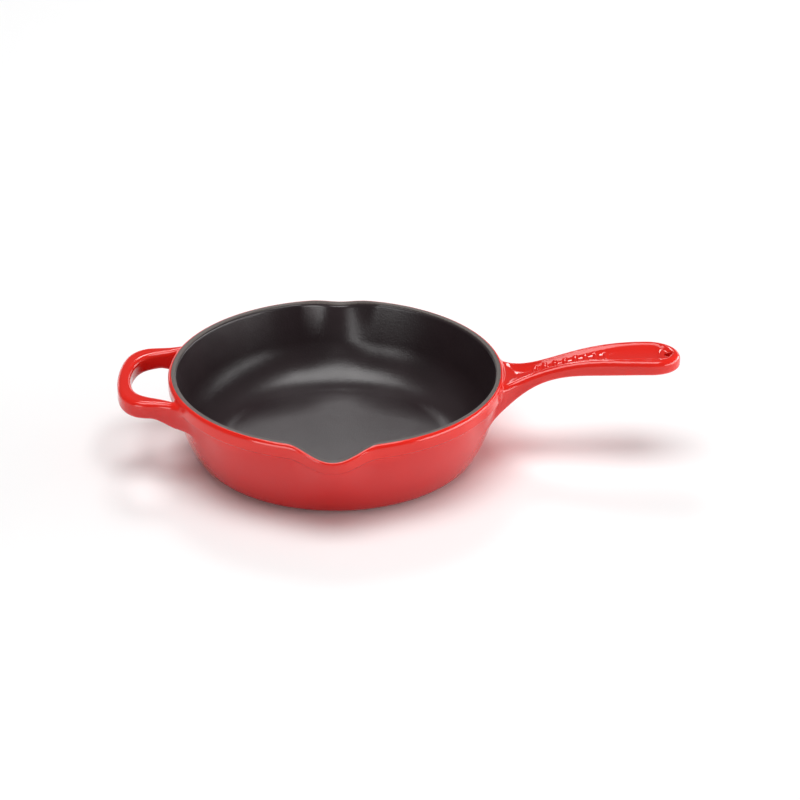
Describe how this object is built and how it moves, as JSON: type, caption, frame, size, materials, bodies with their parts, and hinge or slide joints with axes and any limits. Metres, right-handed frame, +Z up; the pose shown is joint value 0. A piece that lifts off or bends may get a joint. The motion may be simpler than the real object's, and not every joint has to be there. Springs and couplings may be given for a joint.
{
  "type": "skillet",
  "caption": "Enamelled cast iron skillet with a flared bowl, opposed pouring lips, a long channelled handle with a hanging hole and a helper loop.",
  "frame": {"origin": "centre of the flat underside, on the surface the pan stands on", "axes": "+Z up through the bowl, +X along the long handle, the pouring lips face -Y and +Y"},
  "size_m": [0.3455, 0.2236, 0.0675],
  "materials": {
    "cast_iron": "sand-cast grey iron, hidden under the fired coats",
    "red_enamel": "high-gloss fired vitreous enamel",
    "black_enamel": "fine-textured satin vitreous enamel",
    "ground_coat": "matte grey-brown enamel ground coat"
  },
  "bodies": {
    "root": {"iron_body": "cast_iron", "iron_long_handle": "cast_iron", "iron_helper_loop": "cast_iron", "interior_enamel": "black_enamel", "rim_ground_coat": "ground_coat", "exterior_enamel": "red_enamel", "base_enamel": "red_enamel", "long_handle_enamel": "red_enamel", "helper_loop_enamel": "red_enamel"}
  },
  "joints": []
}
